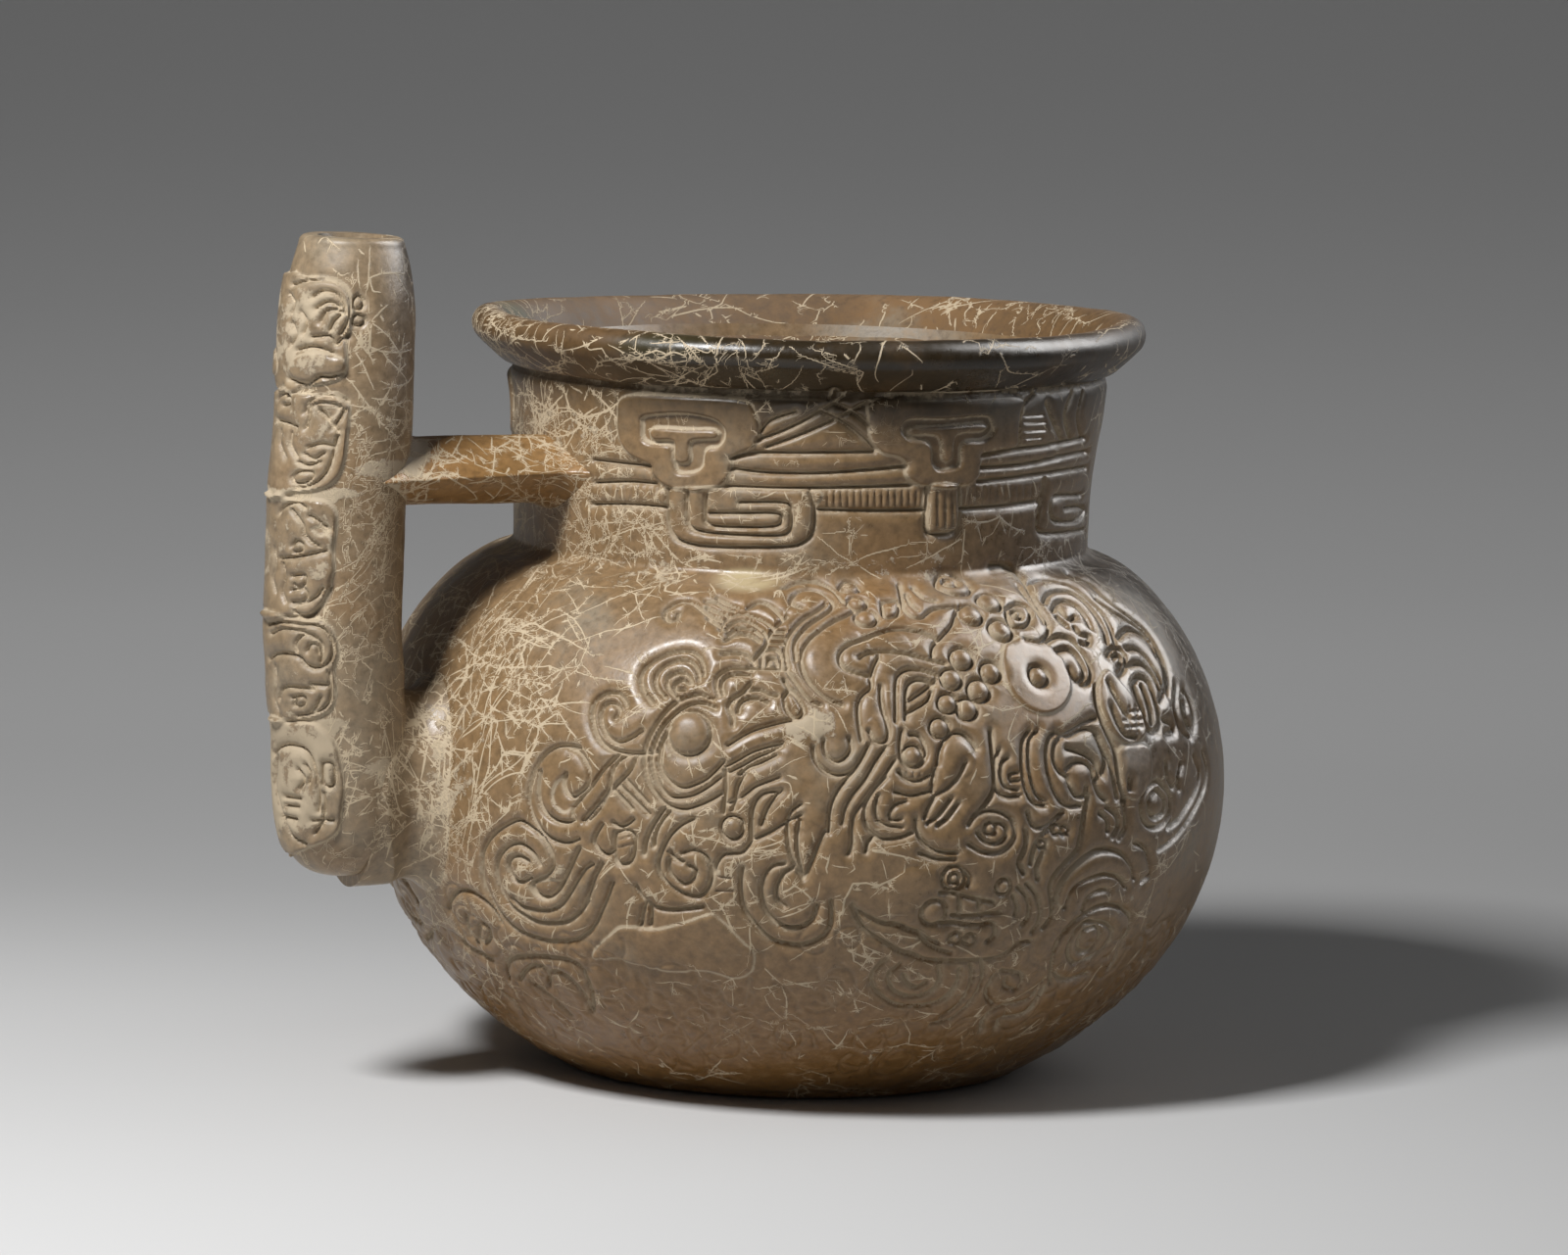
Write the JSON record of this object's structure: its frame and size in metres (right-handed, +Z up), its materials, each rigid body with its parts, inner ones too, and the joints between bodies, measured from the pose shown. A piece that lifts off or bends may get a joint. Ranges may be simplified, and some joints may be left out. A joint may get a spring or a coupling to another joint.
{
  "type": "spouted jar",
  "caption": "Round clay jar on a flat foot, with a collar neck, an everted rim, an upright tube spout braced to the neck by a bar, and carved scrollwork.",
  "frame": {"origin": "centre of the flat foot that the jar stands on", "axes": "+Z up along the jar's turning axis, -X towards the spout, +Y completes the frame across the jar"},
  "size_m": [0.1534, 0.1296, 0.1267],
  "materials": {
    "burnished_slip": "satin",
    "weathered_slip": "satin",
    "carved_slip": "matte"
  },
  "bodies": {
    "root": {"base_disc": "burnished_slip", "lower_bowl": "burnished_slip", "belly_wall": "burnished_slip", "shoulder": "burnished_slip", "neck_collar": "burnished_slip", "rim_flare": "burnished_slip", "brace_bar": "burnished_slip", "spout_end_cap": "weathered_slip", "spout_tube": "weathered_slip", "spout_mouth": "weathered_slip", "spout_joint_pad": "weathered_slip", "glyph_block_1": "carved_slip", "glyph_block_2": "carved_slip", "glyph_block_3": "carved_slip", "glyph_block_4": "carved_slip", "glyph_block_5": "carved_slip", "sign_plaque_front_1": "carved_slip", "sign_plaque_front_2": "carved_slip", "sign_plaque_back_1": "carved_slip", "sign_plaque_back_2": "carved_slip", "bracket_front_1": "carved_slip", "bracket_front_2": "carved_slip", "bracket_back_1": "carved_slip", "bracket_back_2": "carved_slip", "hanging_tab_front": "carved_slip", "hanging_tab_back": "carved_slip", "cord_band_front_1": "carved_slip", "cord_band_front_2": "carved_slip", "cord_band_front_3": "carved_slip", "cord_band_back_1": "carved_slip", "cord_band_back_2": "carved_slip", "cord_band_back_3": "carved_slip", "cord_band_far": "carved_slip", "double_band_front_1": "carved_slip", "double_band_front_2": "carved_slip", "double_band_back_1": "carved_slip", "double_band_back_2": "carved_slip", "double_band_far": "carved_slip"}
  },
  "joints": []
}
